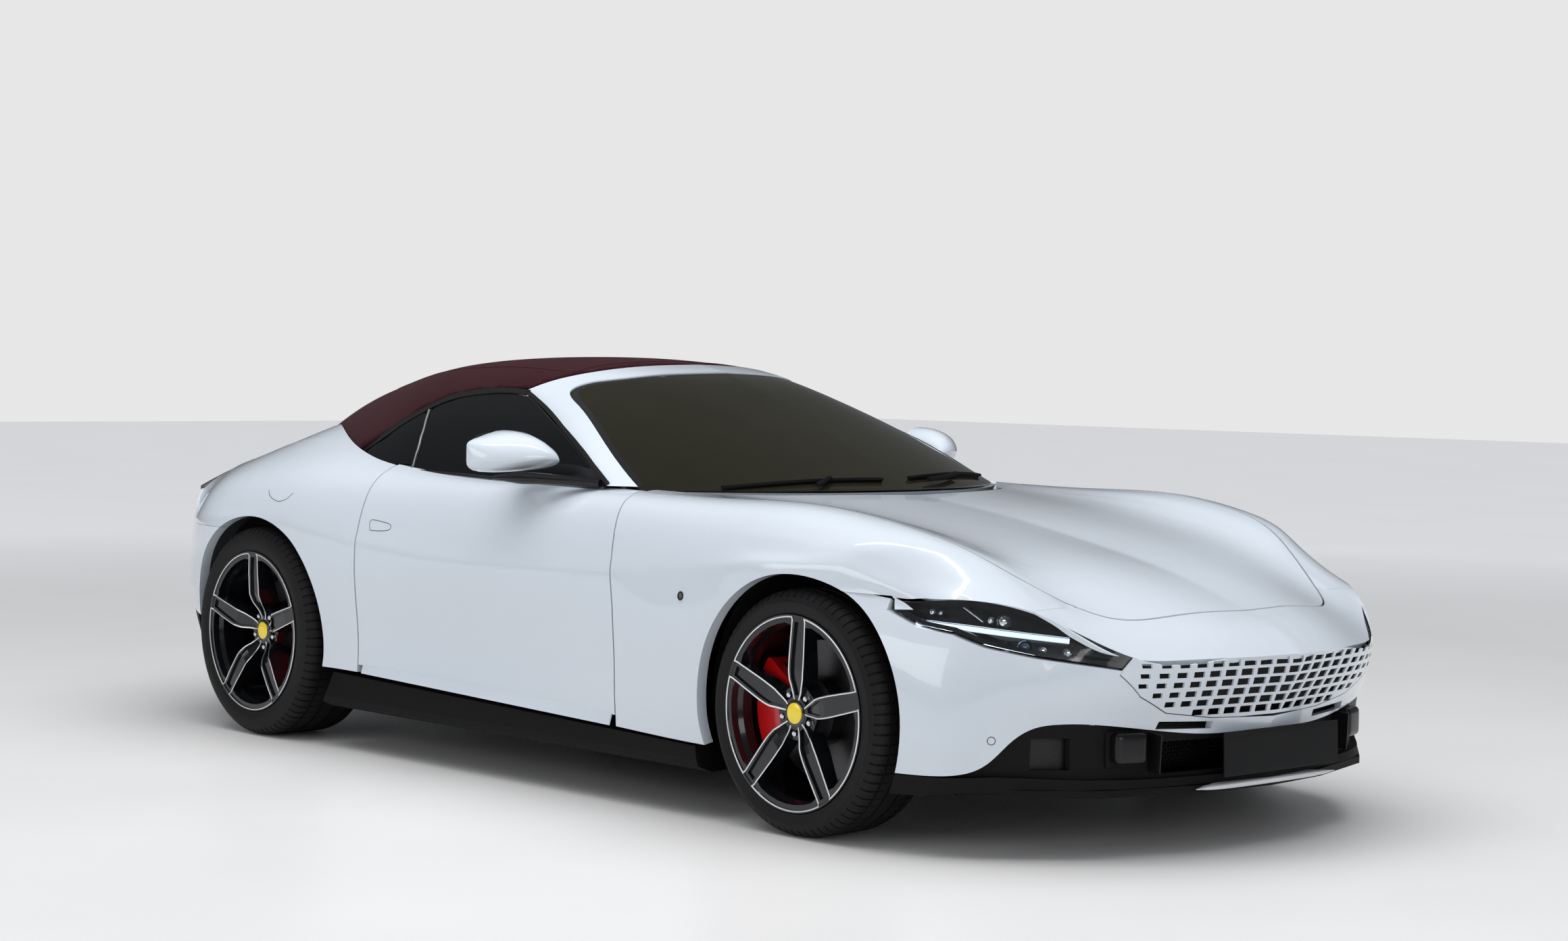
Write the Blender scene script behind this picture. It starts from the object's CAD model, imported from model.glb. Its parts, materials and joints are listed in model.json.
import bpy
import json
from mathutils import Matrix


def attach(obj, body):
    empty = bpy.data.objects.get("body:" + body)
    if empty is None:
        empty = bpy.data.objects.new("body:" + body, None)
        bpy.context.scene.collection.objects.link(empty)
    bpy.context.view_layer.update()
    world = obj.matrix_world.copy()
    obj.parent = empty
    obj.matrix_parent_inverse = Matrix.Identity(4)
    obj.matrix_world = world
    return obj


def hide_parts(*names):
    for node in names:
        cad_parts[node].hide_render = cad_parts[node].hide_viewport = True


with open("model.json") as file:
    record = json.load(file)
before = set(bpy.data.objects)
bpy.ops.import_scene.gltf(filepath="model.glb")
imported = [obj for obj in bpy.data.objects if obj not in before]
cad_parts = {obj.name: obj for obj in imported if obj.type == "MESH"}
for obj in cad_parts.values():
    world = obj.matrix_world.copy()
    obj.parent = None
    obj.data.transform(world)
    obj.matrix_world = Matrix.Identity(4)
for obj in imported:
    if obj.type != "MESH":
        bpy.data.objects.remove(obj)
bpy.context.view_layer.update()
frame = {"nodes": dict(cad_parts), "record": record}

import json
import math

import bmesh
import bpy
from mathutils import Matrix, Vector
from mathutils.bvhtree import BVHTree

scene = bpy.context.scene
NODES = frame["nodes"]
SIDES = ("right", "left")
DOWNWARD = (0, 0, -1)


# --- materials ---
# How far the roughness wanders, a clear coat's roughness, and the size of woven threads in wave units
WEAR = 0.04
COAT_ROUGH = 0.03
THREADS = 900.0 / 6.28


def settings(node, values):
    """Values given to a shader node's inputs by their names."""
    for name, value in values.items():
        node.inputs[name].default_value = value


def relief(tree, height, strength, distance):
    """A fine relief on a material, from a height."""
    node = tree.nodes.new("ShaderNodeBump")
    settings(node, {"Strength": strength, "Distance": distance})
    tree.links.new(height, node.inputs["Height"])
    tree.links.new(node.outputs["Normal"], tree.nodes["Principled BSDF"].inputs["Normal"])


def look(name, color, rough, spread=0.05, scale=6.0, bump=0.0, bump_scale=300.0, cells=False,
         metal=0.0, coat=0.0, specular=0.5, transmission=0.0, sheen=0.0, emission=0.0):
    """A material whose colour and roughness vary a little over the surface, with an optional fine relief."""
    mat = bpy.data.materials.new(name)
    mat.use_nodes = True
    tree = mat.node_tree
    shader = tree.nodes["Principled BSDF"]
    place = tree.nodes.new("ShaderNodeTexCoord")
    noise = tree.nodes.new("ShaderNodeTexNoise")
    settings(noise, {"Scale": scale, "Detail": 4})
    tree.links.new(place.outputs["Object"], noise.inputs["Vector"])
    ramp = tree.nodes.new("ShaderNodeValToRGB")
    for stop, position, share in zip(ramp.color_ramp.elements, (0.3, 0.7), (1 - spread, 1 + spread)):
        stop.position = position
        stop.color = (*[min(1, c * share) for c in color], 1)
    tree.links.new(noise.outputs["Fac"], ramp.inputs["Fac"])
    tree.links.new(ramp.outputs["Color"], shader.inputs["Base Color"])
    wear = tree.nodes.new("ShaderNodeMapRange")
    settings(wear, {"To Min": max(0.0, rough - WEAR), "To Max": rough + WEAR})
    tree.links.new(noise.outputs["Fac"], wear.inputs["Value"])
    tree.links.new(wear.outputs["Result"], shader.inputs["Roughness"])
    if bump:
        grain = tree.nodes.new("ShaderNodeTexVoronoi" if cells else "ShaderNodeTexNoise")
        settings(grain, {"Scale": bump_scale})
        tree.links.new(place.outputs["Object"], grain.inputs["Vector"])
        relief(tree, grain.outputs[0], bump, 0.001)
    settings(shader, {"Metallic": metal, "Coat Weight": coat, "Coat Roughness": COAT_ROUGH,
                      "Specular IOR Level": specular, "Transmission Weight": transmission,
                      "Sheen Weight": sheen})
    if emission:
        settings(shader, {"Emission Color": (*color, 1), "Emission Strength": emission})
    return mat


def woven(name, color, dark):
    """Cloth with crossing threads and a faint colour variation."""
    mat = look(name, color, 0.85, spread=0.14, scale=9.0, sheen=0.04, specular=0.08)
    tree = mat.node_tree
    cross = tree.nodes.new("ShaderNodeMath")
    cross.operation = "MULTIPLY"
    for i, direction in enumerate("XY"):
        wave = tree.nodes.new("ShaderNodeTexWave")
        wave.bands_direction = direction
        settings(wave, {"Scale": THREADS, "Distortion": 1.2})
        tree.links.new(tree.nodes["Texture Coordinate"].outputs["Object"], wave.inputs["Vector"])
        tree.links.new(wave.outputs["Fac"], cross.inputs[i])
    relief(tree, cross.outputs["Value"], 0.5, 0.0006)
    shade = tree.nodes.new("ShaderNodeMix")
    shade.data_type = "RGBA"
    shade.inputs[6].default_value = (*dark, 1)
    tree.links.new(cross.outputs["Value"], shade.inputs[0])
    tree.links.new(tree.nodes["Color Ramp"].outputs["Color"], shade.inputs[7])
    tree.links.new(shade.outputs[2], tree.nodes["Principled BSDF"].inputs["Base Color"])
    return mat


PAINT = look("paint", (0.545, 0.595, 0.65), 0.22, spread=0.012, scale=2.0, bump=0.03, bump_scale=900,
             coat=1.0)
GLASS = look("side_glass", (0.004, 0.0045, 0.005), 0.03, specular=0.3)
SCREEN = look("screen_glass", (0.013, 0.012, 0.007), 0.03, specular=0.22)
FABRIC = woven("top_fabric", (0.046, 0.0042, 0.009), (0.017, 0.0022, 0.0045))
SEAM_CLOTH = woven("seam_cloth", (0.046, 0.007, 0.011), (0.02, 0.004, 0.007))
LINING = woven("top_lining", (0.02, 0.019, 0.019), (0.01, 0.01, 0.01))
LAMP_BLACK = look("lamp_black", (0.006, 0.006, 0.007), 0.15, coat=0.5)
COVER = look("lamp_cover", (0.9, 0.93, 0.96), 0.02, spread=0.01, transmission=1.0)
TAIL_RED = look("tail_red", (0.28, 0.004, 0.006), 0.08, coat=0.8)
PLASTIC = look("black_plastic", (0.0045, 0.0045, 0.005), 0.6, bump=0.25, bump_scale=900, cells=True,
               specular=0.15)
GLOSS_BLACK = look("gloss_black", (0.006, 0.006, 0.007), 0.08, coat=1.0)
RUBBER = look("rubber", (0.007, 0.007, 0.007), 0.6, bump=0.1, bump_scale=500)
STEEL = look("exhaust_steel", (0.42, 0.42, 0.43), 0.22, metal=1.0, bump=0.05, bump_scale=200)
PANEL = look("interior_panel", (0.014, 0.014, 0.015), 0.6, bump=0.3, bump_scale=600, cells=True)
LEATHER = look("leather", (0.052, 0.026, 0.018), 0.45, spread=0.1, bump=0.35, bump_scale=450, cells=True)
IRON = look("cast_iron", (0.05, 0.05, 0.052), 0.5, metal=0.7, bump=0.4, bump_scale=150)
RED = look("caliper_red", (0.6, 0.006, 0.008), 0.25, coat=0.8)
ALLOY = look("alloy_dark", (0.005, 0.0055, 0.007), 0.16, specular=0.35, coat=0.4)
SILVER = look("alloy_cut", (0.72, 0.73, 0.75), 0.22, metal=1.0, bump=0.05, bump_scale=900)
CHROME = look("chrome", (0.75, 0.76, 0.78), 0.08, metal=1.0)
TYRE = look("tyre_rubber", (0.006, 0.006, 0.0065), 0.62, spread=0.15, scale=14, bump=0.15, bump_scale=220,
            specular=0.25)
DISC = look("brake_disc", (0.085, 0.085, 0.09), 0.35, metal=1.0, bump=0.2, bump_scale=500)
YELLOW = look("cap_yellow", (0.8, 0.6, 0.01), 0.25, coat=0.9)
LIGHT = look("running_light", (0.8, 0.9, 1.0), 0.2, spread=0.01, emission=0.9)
PROJECTOR = look("projector_glass", (0.05, 0.1, 0.22), 0.04, coat=1.0)
MESH = look("grille_mesh", (0.004, 0.004, 0.004), 0.6, bump=0.5, bump_scale=120, cells=True)
MIRROR = look("mirror_glass", (0.6, 0.62, 0.64), 0.03, metal=1.0)
TAIL_LIGHT = look("tail_light", (0.85, 0.02, 0.02), 0.2, spread=0.01, emission=0.6)
BAR = look("divider_bar", (0.36, 0.37, 0.38), 0.3, metal=0.6)
LINE = look("shut_line", (0.055, 0.058, 0.062), 0.6)
PLATE_DARK = look("plate_blank", (0.006, 0.0063, 0.007), 0.45, specular=0.15)
BLUE_GREY = look("lamp_housing", (0.045, 0.058, 0.075), 0.16, coat=0.8)
DARK_CHROME = look("dark_chrome", (0.2, 0.205, 0.215), 0.16, metal=1.0)
SENSOR_BLACK = look("sensor_black", (0.006, 0.006, 0.007), 0.3, specular=0.35)
BLADE_SILVER = look("blade_silver", (0.62, 0.63, 0.65), 0.3, metal=0.4)
LEATHER_DARK = look("leather_dark", (0.016, 0.011, 0.01), 0.5, spread=0.1, bump=0.35, bump_scale=450,
                    cells=True)
STITCH = look("stitching", (0.16, 0.09, 0.06), 0.7, bump=0.4, bump_scale=700)

SLOT_LOOK = {
    "body_paint": PAINT, "tinted_glass": GLASS, "top_fabric": FABRIC, "lamp_lens": LAMP_BLACK,
    "clear_cover": COVER, "tail_lamp": TAIL_RED, "black_trim": PLASTIC, "exhaust_steel": STEEL,
    "interior_panel": PANEL, "seat_leather": LEATHER, "cast_iron": IRON, "caliper_red": RED,
    "wheel_alloy": ALLOY, "tyre": TYRE, "disc": DISC,
}


# --- pieces: a form is a pair of vertices and faces ---
def piece(name, form, material, body="body", smooth=True, slot=None, sharp=35):
    """A form made into an object that rides a body; its edges look sharp from an angle in degrees on."""
    verts, faces = form
    mesh = bpy.data.meshes.new(name)
    mesh.from_pydata([tuple(v) for v in verts], [], faces)
    mesh.validate()
    obj = bpy.data.objects.new(name, mesh)
    scene.collection.objects.link(obj)
    mesh.materials.append(material)
    if smooth:
        mesh.polygons.foreach_set("use_smooth", [True] * len(mesh.polygons))
        mesh.set_sharp_from_angle(angle=math.radians(sharp))
    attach(obj, body)
    return obj


def pair(name, form, material, body="body", **options):
    """A piece given for the right side and its mirror image on the left. A body's name that ends in _ takes
    the side's name."""
    verts, faces = form
    mirrored = [(x, -y, z) for x, y, z in verts], [tuple(reversed(face)) for face in faces]
    made = []
    for side, side_form in zip(SIDES, (form, mirrored)):
        side_body = body + side if body.endswith("_") else body
        made.append(piece(f"{name}_{side}", side_form, material, side_body, **options))
    return made


def rings(rows, closed_rows=True, caps=False, loop=False):
    """Faces between successive rings of equal length, and in a loop from the last to the first."""
    verts = [p for row in rows for p in row]
    n = len(rows[0])
    faces = []
    for i in range(len(rows) if loop else len(rows) - 1):
        after = (i + 1) % len(rows)
        for j in range(n if closed_rows else n - 1):
            k = (j + 1) % n
            faces.append((i * n + j, after * n + j, after * n + k, i * n + k))
    if caps:
        faces.append(tuple(range(n)))
        faces.append(tuple(reversed(range((len(rows) - 1) * n, len(rows) * n))))
    return verts, faces


def merged(*forms):
    """Several forms as one."""
    all_verts, all_faces = [], []
    for verts, faces in forms:
        base = len(all_verts)
        all_verts += list(verts)
        all_faces += [tuple(base + i for i in face) for face in faces]
    return all_verts, all_faces


def angles(count):
    """Equal steps around a full turn."""
    return [2 * math.pi * i / count for i in range(count)]


def strip(half, low, shoulder, half_top, top):
    """A section with bevelled upper edges, as (across, out) pairs."""
    return [(-half, low), (-half, shoulder), (-half_top, top), (half_top, top), (half, shoulder), (half, low)]


def sweep(points, normals, section):
    """A section, as (across, out) pairs, carried along a line that lies on a surface."""
    points = [Vector(p) for p in points]
    rows = []
    for i, p in enumerate(points):
        tangent = (points[min(i + 1, len(points) - 1)] - points[max(i - 1, 0)]).normalized()
        out = Vector(normals[i])
        out = (out - tangent * out.dot(tangent)).normalized()
        across = tangent.cross(out)
        rows.append([tuple(p + across * a + out * b) for a, b in section])
    return rings(rows, caps=True)


def tube(points, radius, count=10):
    """A round bar through points, with a steady frame."""
    points = [Vector(p) for p in points]
    side = (points[-1] - points[0]).normalized().orthogonal().normalized()
    section = [(radius * math.cos(a), radius * math.sin(a)) for a in angles(count)]
    return sweep(points, [side] * len(points), section)


def lathe(section, centre, count=48, start=0.0):
    """A form turned around a right wheel's axle: section as (radius, y outward from the centre)."""
    x, y, z = centre
    around = [start + a for a in angles(count)]
    rows = [[(x + r * math.cos(a), y - out, z + r * math.sin(a)) for a in around] for r, out in section]
    return rings(rows)


def turned(section, centre, axis, count=32):
    """A form turned around an axis: section as (radius, along the axis)."""
    axis = Vector(axis).normalized()
    across = axis.orthogonal().normalized()
    other = axis.cross(across)
    rows = [[tuple(Vector(centre) + axis * h + across * r * math.cos(a) + other * r * math.sin(a))
             for a in angles(count)] for r, h in section]
    return rings(rows)


BLOCK_CUTS = 9
AT_FACE = 0.99


def block(size, centre, turn=(0, 0, 0), soft=0.4, crown=0.0):
    """A box with rounded edges, their radius a share (soft) of its shortest side, and with crowned faces."""
    half = Vector(size) / 2
    radius = min(half) * soft * 2
    turn_x, turn_y, turn_z = [Matrix.Rotation(angle, 3, axis) for angle, axis in zip(turn, "XYZ")]
    rotation = turn_z @ turn_y @ turn_x
    bm = bmesh.new()
    bmesh.ops.create_cube(bm, size=2)
    bmesh.ops.subdivide_edges(bm, edges=bm.edges, cuts=BLOCK_CUTS, use_grid_fill=True)
    for v in bm.verts:
        unit = Vector(v.co)
        p = Vector([c * h for c, h in zip(unit, half)])
        core = Vector([max(-h + radius, min(h - radius, c)) for c, h in zip(p, half)])
        away = p - core
        if away.length > 1e-9:
            p = core + away.normalized() * radius
        on_face = [math.copysign(1, c) if abs(c) > AT_FACE else 0 for c in unit]
        swell = 0
        for i in range(3):
            if on_face[i]:
                swell += crown * (1 - unit[i - 2]**2) * (1 - unit[i - 1]**2)
        v.co = rotation @ (p + swell * Vector(on_face)) + Vector(centre)
    bm.verts.index_update()
    verts = [tuple(v.co) for v in bm.verts]
    faces = [tuple(v.index for v in f.verts) for f in bm.faces]
    bm.free()
    return verts, faces


def blocks(*boxes, **options):
    """Several boxes, given as (size, centre) pairs, as one form."""
    return merged(*[block(size, centre, **options) for size, centre in boxes])


def skin(*names):
    """The surface of CAD nodes, for laying details on it."""
    meshes = [NODES[name].data for name in names]
    return BVHTree.FromPolygons(*merged(*[([v.co.copy() for v in mesh.vertices],
                                           [p.vertices for p in mesh.polygons]) for mesh in meshes]))


def lay(tree, points, toward):
    """Points moved along a direction onto a surface, and the surface's normals there."""
    toward = Vector(toward).normalized()
    placed, normals = [], []
    for p in points:
        spot, normal, _, _ = tree.ray_cast(Vector(p) - toward, toward)
        if spot is None:
            continue
        if normal.dot(toward) > 0:
            normal = -normal
        placed.append(spot)
        normals.append(normal)
    return placed, normals


def along(points, count):
    """Points spaced evenly on a smooth line through the given ones."""
    points = [Vector(p) for p in points]
    dense = []
    steps = 12
    for i in range(len(points) - 1):
        p0, p1, p2, p3 = points[max(i - 1, 0)], points[i], points[i + 1], points[min(i + 2, len(points) - 1)]
        for k in range(steps):
            t = k / steps
            dense.append(0.5 * ((2 * p1) + (p2 - p0) * t + (2 * p0 - 5 * p1 + 4 * p2 - p3) * t**2
                                + (3 * p1 - p0 - 3 * p2 + p3) * t**3))
    dense.append(points[-1])
    lengths = [0.0]
    for a, b in zip(dense, dense[1:]):
        lengths.append(lengths[-1] + (b - a).length)
    result, k = [], 0
    for i in range(count):
        goal = lengths[-1] * i / (count - 1)
        while k < len(dense) - 2 and lengths[k + 1] < goal:
            k += 1
        span = lengths[k + 1] - lengths[k]
        result.append(dense[k].lerp(dense[k + 1], (goal - lengths[k]) / span if span else 0))
    return result


def across_middle(half):
    """A line that ends on the middle plane, carried on to its mirror image."""
    return half + [Vector((p.x, -p.y, p.z)) for p in reversed(half[:-1])]


def lifted(spots, normals, height):
    """Points moved out from a surface."""
    return [s + n * height for s, n in zip(spots, normals)]


def steady(normals, rounds=6):
    """Normals evened out along a line."""
    for _ in range(rounds):
        normals = [(normals[max(i - 1, 0)] + n * 2 + normals[min(i + 1, len(normals) - 1)]).normalized()
                   for i, n in enumerate(normals)]
    return normals


def band(points, normals, width, thickness, sink=0.002):
    """A flat strip with softened edges along a line on a surface."""
    w, t = width / 2, thickness
    return sweep(points, steady(list(normals)), strip(w, -sink, t * 0.6, w - t * 0.4, t))


def seam(tree, points, toward, width, height, count, sink=0.001):
    """A thin strip along a line thrown onto a surface."""
    return band(*lay(tree, along(points, count), toward), width, height, sink)


# --- CAD nodes: materials ---
for entry in frame["record"]["subparts"]:
    node = NODES[entry["node"]]
    node.data.materials.clear()
    node.data.materials.append(SLOT_LOOK[entry["material_slot"]])
NODES["windscreen"].data.materials[0] = SCREEN
NODES["wheel_housings"].data.materials[0] = RUBBER

# --- wheels: bright lines on the spokes' edges and around the rim ---
# Each axle has its left wheel's centre, how far the lip stands out from there, and, as (radius, depth), how
# far the face lies behind the lip.
FACES = {
    "front": ((1.335, 0.828, 0.34), 0.1215,
              [(0.031, 0.017), (0.05, 0.017), (0.07, 0.014), (0.095, 0.009), (0.12, 0.006), (0.2, 0.004),
               (0.262, 0.003)]),
    "rear": ((-1.335, 0.842, 0.354), 0.1415,
             [(0.031, 0.049), (0.05, 0.049), (0.07, 0.042), (0.1, 0.022), (0.125, 0.01), (0.2, 0.005),
              (0.262, 0.004)]),
}
FLUSH_R = 0.258
RING_R = 0.2655
FIRST_SPOKE = {"front": 85.2, "rear": 89.5}
SPOKES, SPOKE_STEP = 5, 72
# A spoke's edge, as distance from the axle and half its width there
EDGE = [(0.038, 0.0085), (0.046, 0.0115), (0.056, 0.015), (0.076, 0.0203), (0.097, 0.0262), (0.14, 0.0282),
        (0.2, 0.0268), (0.241, 0.0254), (0.264, 0.025)]
RING_GAP = math.asin(0.0228 / RING_R)


def face_depth(profile, radius):
    """How far a wheel's face lies behind its lip at a radius."""
    if radius < FLUSH_R:
        for (r0, d0), (r1, d1) in zip(profile, profile[1:]):
            if r0 <= radius <= r1:
                return d0 + (d1 - d0) * (radius - r0) / (r1 - r0)
    return 0.0


def wheel_line(axle, polar):
    """A thin bright line on a right wheel's face, through (radius, angle in radians) points."""
    (x, y, z), lip, profile = FACES[axle]
    points = [(x + radius * math.cos(angle), -(y + lip - face_depth(profile, radius) + 0.0002),
               z + radius * math.sin(angle)) for radius, angle in polar]
    return sweep(points, [(0, -1, 0)] * len(points), strip(0.0024, -0.002, 0.0003, 0.0017, 0.0008))


spoke_edge = along([(r, off, 0) for r, off in EDGE], 26)
for axle in FACES:
    lines = []
    for spoke in range(SPOKES):
        axis = math.radians(FIRST_SPOKE[axle] + SPOKE_STEP * spoke)
        for way in (-1, 1):
            lines.append(wheel_line(axle, [(math.hypot(p.x, p.y), axis + way * math.atan2(p.y, p.x))
                                           for p in spoke_edge]))
        start, stop = axis + RING_GAP, axis + math.radians(SPOKE_STEP) - RING_GAP
        lines.append(wheel_line(axle, [(RING_R, start + (stop - start) * k / 32) for k in range(33)]))
    pair(f"{axle}_bright_lines", merged(*lines), SILVER, f"{axle}_wheel_", sharp=50)

# --- tyres: radius and half width ---
TYRES = {"front": (0.34, 0.1225), "rear": (0.354, 0.1425)}
RIM = 0.271
GROOVES = (-0.56, -0.2, 0.2, 0.56)
GROOVE_DEPTH = 0.0065
CUT_DEPTH = 0.0045
TREAD_BLOCKS = 76


def tyre_profile(radius, half):
    """(radius, y, whether cross grooves cut here) from the outer bead over the tread to the inner bead."""
    wall = [(RIM - 0.019, half - 0.025, 0), (RIM + 0.001, half - 0.0145, 0), (RIM + 0.001, half - 0.006, 0),
            (RIM + 0.004, half - 0.003, 0), (RIM + 0.009, half - 0.0035, 0), (RIM + 0.013, half - 0.0015, 0),
            (RIM + 0.034, half - 0.0002, 0), (radius - 0.033, half - 0.002, 0),
            (radius - 0.022, half - 0.006, 0), (radius - 0.0195, half - 0.0085, 1),
            (radius - 0.012, half - 0.015, 1), (radius - 0.006, half - 0.022, 1),
            (radius - 0.002, half - 0.034, 1)]
    tread = [(radius - 0.0002, -half + 0.045, 1)]
    for groove in GROOVES:
        for off, depth in ((-0.0045, 0), (-0.0035, GROOVE_DEPTH), (0.0035, GROOVE_DEPTH), (0.0045, 0)):
            y = groove * half + off
            tread.append((radius - depth, y, 0 if depth or abs(y) < 0.5 * half else 1))
    tread.append((radius - 0.0002, half - 0.045, 1))
    return wall + tread[::-1] + [(r, -y, cut) for r, y, cut in reversed(wall)]


for axle, ((x, y, z), _, _) in FACES.items():
    profile = tyre_profile(*TYRES[axle])
    rows = []
    for i in range(TREAD_BLOCKS):
        for part, sunk in ((0.0, 0), (0.06, 1), (0.17, 1), (0.23, 0)):
            row = []
            for r, off, cut in profile:
                a = 2 * math.pi * (i + part + (0.5 if off < 0 else 0.0)) / TREAD_BLOCKS
                depth = CUT_DEPTH if cut and sunk else 0
                row.append((x + (r - depth) * math.cos(a), -(y + off), z + (r - depth) * math.sin(a)))
            rows.append(row)
    treads = pair(f"{axle}_tyre_tread", rings(rows, loop=True), TYRE, f"{axle}_wheel_", slot="tyre", sharp=40)
    for side, tread in zip(SIDES, treads):
        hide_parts(f"{axle}_tyre_{side}")

# --- wheel caps and nuts ---
NUT_CIRCLE = 0.0565
for axle, ((x, y, z), lip, profile) in FACES.items():
    wheel = f"{axle}_wheel_"
    top = lip - profile[0][1]
    cap = lathe([(0.0001, top + 0.0085), (0.012, top + 0.0083), (0.022, top + 0.0072), (0.0285, top + 0.005),
                 (0.0295, top + 0.002), (0.0295, top - 0.006)], (x, -y, z))
    pair(f"{axle}_cap", cap, YELLOW, wheel)
    ring = lathe([(0.029, top - 0.008), (0.029, top + 0.003), (0.031, top + 0.0045), (0.0345, top + 0.0035),
                  (0.037, top + 0.0005), (0.037, top - 0.008)], (x, -y, z))
    pair(f"{axle}_cap_ring", ring, GLOSS_BLACK, wheel)
    nuts = []
    floor = top - 0.009
    for i in range(SPOKES):
        a = math.radians(FIRST_SPOKE[axle] + SPOKE_STEP / 2 + SPOKE_STEP * i)
        nuts.append(lathe([(0.0001, floor + 0.011), (0.006, floor + 0.011), (0.0085, floor + 0.009),
                           (0.0095, floor + 0.001), (0.0105, floor)],
                          (x + NUT_CIRCLE * math.cos(a), -y, z + NUT_CIRCLE * math.sin(a)), 6, a))
    pair(f"{axle}_nuts", merged(*nuts), SILVER, wheel, sharp=25)

# --- fabric top ---
top_mesh = NODES["soft_top"].data
CABIN_REAR, CABIN_FRONT, CABIN_HEIGHT = -1.5, -0.3, 0.75
FACING = 0.45


def fabric_faces(way):
    """The faces of the raised top's shell that look away from the cabin (way 1) or toward it (way -1)."""
    chosen = []
    for polygon in top_mesh.polygons:
        beside = max(CABIN_REAR, min(CABIN_FRONT, polygon.center.x))
        away = polygon.center - Vector((beside, 0, CABIN_HEIGHT))
        if way * polygon.normal.dot(away.normalized()) > FACING:
            chosen.append(tuple(polygon.vertices))
    return chosen


def cloth(name, way, thickness, material):
    """A sheet made from one face of the top's shell, and its area."""
    faces = fabric_faces(way)
    bm = bmesh.new()
    bm_verts = {i: bm.verts.new(top_mesh.vertices[i].co) for i in sorted({i for face in faces for i in face})}
    for face in faces:
        bm.faces.new([bm_verts[i] for i in face])
    bmesh.ops.remove_doubles(bm, verts=bm.verts, dist=0.0004)
    bm.normal_update()
    area = sum(f.calc_area() for f in bm.faces)
    mesh = bpy.data.meshes.new(name)
    bm.to_mesh(mesh)
    bm.free()
    obj = bpy.data.objects.new(name, mesh)
    scene.collection.objects.link(obj)
    mesh.materials.append(material)
    solid = obj.modifiers.new("thickness", "SOLIDIFY")
    solid.thickness = thickness
    solid.offset = -1
    mesh.polygons.foreach_set("use_smooth", [True] * len(mesh.polygons))
    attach(obj, "body")
    return obj, area


canopy, canopy_area = cloth("top_canopy", 1, 0.004, FABRIC)
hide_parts("soft_top")
lining, lining_area = cloth("top_headliner", -1, 0.003, LINING)

# --- windows: seals, divider, mirror foot ---
# The side windows' surface, as height and distance from the middle plane
WINDOW_PLANE = [(0.88, 0.812), (0.92, 0.801), (0.975, 0.777), (1.03, 0.745), (1.082, 0.706), (1.132, 0.658),
                (1.185, 0.6), (1.215, 0.56)]
TUCK, TUCK_START, TUCK_RUN = 0.028, -0.65, 0.35


def on_window(points, out):
    """Points given as (x, z) set on the right side's windows, and the way they face there."""
    spots, normals = [], []
    for x, z in points:
        for (z0, y0), (z1, y1) in zip(WINDOW_PLANE, WINDOW_PLANE[1:]):
            if z <= z1:
                break
        slope = (y1 - y0) / (z1 - z0)
        y = y0 + slope * (z - z0) - TUCK * (max(TUCK_START - x, 0) / TUCK_RUN)**2
        normal = Vector((0, -1, -slope)).normalized()
        spots.append(Vector((x, -y, z)) + normal * out)
        normals.append(normal)
    return spots, normals


TOP_SEAL = [(-1.021, 0.981), (-0.975, 1.005), (-0.93, 1.028), (-0.858, 1.075), (-0.8, 1.108), (-0.76, 1.13),
            (-0.7, 1.156), (-0.62, 1.174), (-0.5, 1.186), (-0.39, 1.188), (-0.305, 1.184)]
PILLAR_SEAL = [(-0.305, 1.184), (-0.24, 1.166), (-0.096, 1.121), (0.116, 1.038), (0.24, 0.979),
               (0.352, 0.921)]
BELT_QUARTER = [(-1.006, 0.972), (-0.96, 0.957), (-0.879, 0.94), (-0.8, 0.928), (-0.758, 0.925)]
BELT_DOOR = [(-0.748, 0.924), (-0.65, 0.923), (-0.5, 0.921), (-0.352, 0.919), (-0.125, 0.914), (0.145, 0.911),
             (0.34, 0.914)]
DIVIDER = [(-0.752, 1.118), (-0.713, 1.071), (-0.688, 1.025), (-0.673, 0.985), (-0.664, 0.934)]
FOOT = [(0.348, 0.9125), (0.12, 0.9125), (0.205, 0.958), (0.262, 0.966)]

for name, line, width, thick, out, body, material in (
        ("top_seal", TOP_SEAL, 0.023, 0.005, 0.001, "body", RUBBER),
        ("pillar_seal", PILLAR_SEAL, 0.014, 0.004, 0.001, "body", RUBBER),
        ("belt_seal_rear", BELT_QUARTER, 0.012, 0.006, 0.0, "body", GLOSS_BLACK),
        ("belt_seal_door", BELT_DOOR, 0.012, 0.006, 0.0, "door_", GLOSS_BLACK),
        ("divider_rubber", DIVIDER, 0.019, 0.003, 0.0, "body", RUBBER),
        ("divider_bar", DIVIDER, 0.007, 0.0055, 0.0, "body", BAR)):
    smooth_line = [(p.x, p.z) for p in along([(x, 0, z) for x, z in line], 48)]
    pair(name, band(*on_window(smooth_line, out), width, thick), material, body)
foot = rings([on_window(FOOT, -0.001)[0], on_window(FOOT, 0.003)[0]], caps=True)
pair("mirror_foot", foot, SENSOR_BLACK, "door_", smooth=False)

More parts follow.
